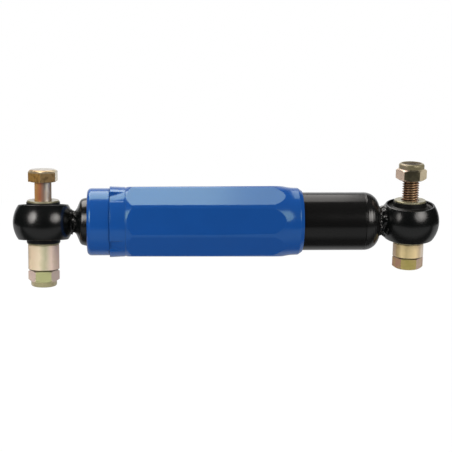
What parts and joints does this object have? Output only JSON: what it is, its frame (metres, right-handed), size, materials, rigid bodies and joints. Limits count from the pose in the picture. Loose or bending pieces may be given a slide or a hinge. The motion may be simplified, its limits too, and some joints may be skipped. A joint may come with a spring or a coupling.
{
  "type": "shock absorber",
  "caption": "Hydraulic twin-tube shock absorber with an octagonal dust sleeve, a sliding rod and a rubber-bushed ball eye with bolt, spacer and nut at each end.",
  "frame": {"origin": "centre of the body eye, on its bolt's axis", "axes": "+Z along the body eye's bolt towards its nut; the damper lies along X with the rod eye towards -X"},
  "size_m": [0.3024, 0.0522, 0.0879],
  "materials": {
    "black_paint": "gloss black paint",
    "blue_plastic": "satin moulded blue",
    "zinc_steel": "yellow zinc plating",
    "bush_rubber": "moulded black rubber",
    "stop_rubber": "moulded black rubber",
    "seal_rubber": "oiled black rubber",
    "nylon": "dark nylon",
    "rod_chrome": "hard chrome, ground",
    "valve_steel": "oiled steel",
    "sintered_iron": "sintered iron",
    "bearing_bronze": "bearing bronze",
    "band_plastic": "filled sliding plastic"
  },
  "bodies": {
    "body_pin": {"body_eye_sleeve": "zinc_steel", "body_eye_spacer": "zinc_steel", "body_eye_bolt": "zinc_steel", "body_eye_nut": "zinc_steel", "body_eye_nut_insert": "nylon"},
    "damper_body": {"reserve_tube": "black_paint", "base_cap": "black_paint", "body_eye_ring": "black_paint", "body_eye_bush": "bush_rubber", "body_eye_weld": "black_paint", "pressure_tube": "valve_steel", "base_valve_body": "sintered_iron", "base_valve_disc_1": "valve_steel", "base_valve_disc_2": "valve_steel", "base_check_disc": "valve_steel", "base_valve_pin": "valve_steel", "rod_guide": "sintered_iron", "guide_bush": "bearing_bronze", "guide_seal_ring": "seal_rubber", "rod_seal": "seal_rubber", "closing_washer": "valve_steel"},
    "piston_band": {"piston_band": "band_plastic"},
    "rod": {"piston_rod": "rod_chrome", "piston": "sintered_iron", "rebound_disc_1": "valve_steel", "rebound_disc_2": "valve_steel", "rebound_disc_3": "valve_steel", "check_disc": "valve_steel", "check_spring": "valve_steel", "stop_plate": "valve_steel", "rebound_stop": "valve_steel", "piston_nut": "valve_steel", "rod_cap": "black_paint", "rod_eye_weld": "black_paint", "rod_eye_ring": "black_paint", "rod_eye_bush": "bush_rubber", "sleeve_collar": "blue_plastic", "dust_sleeve": "blue_plastic", "bump_stop": "stop_rubber"},
    "rod_pin": {"rod_eye_sleeve": "zinc_steel", "rod_eye_spacer": "zinc_steel", "rod_eye_bolt": "zinc_steel", "rod_eye_nut": "zinc_steel", "rod_eye_nut_insert": "nylon"}
  },
  "joints": [
    {"name": "body_eye_swing", "type": "hinge", "parent": "body_pin", "child": "damper_body", "pos_m": [0, 0, 0], "axis": [0, 0, 1], "range_deg": [-15, 15], "stiffness_Nm_per_rad": 30},
    {"name": "rod_slide", "type": "slide", "parent": "damper_body", "child": "piston_band", "axis": [-1, 0, 0], "range_m": [-0.038, 0.062]},
    {"name": "rod_turn", "type": "hinge", "parent": "piston_band", "child": "rod", "pos_m": [-0.088, 0, 0], "axis": [1, 0, 0], "continuous": true},
    {"name": "rod_eye_swing", "type": "hinge", "parent": "rod", "child": "rod_pin", "pos_m": [-0.26, 0, 0], "axis": [0, 0.0785, 0.9969], "range_deg": [-15, 15], "stiffness_Nm_per_rad": 30}
  ]
}
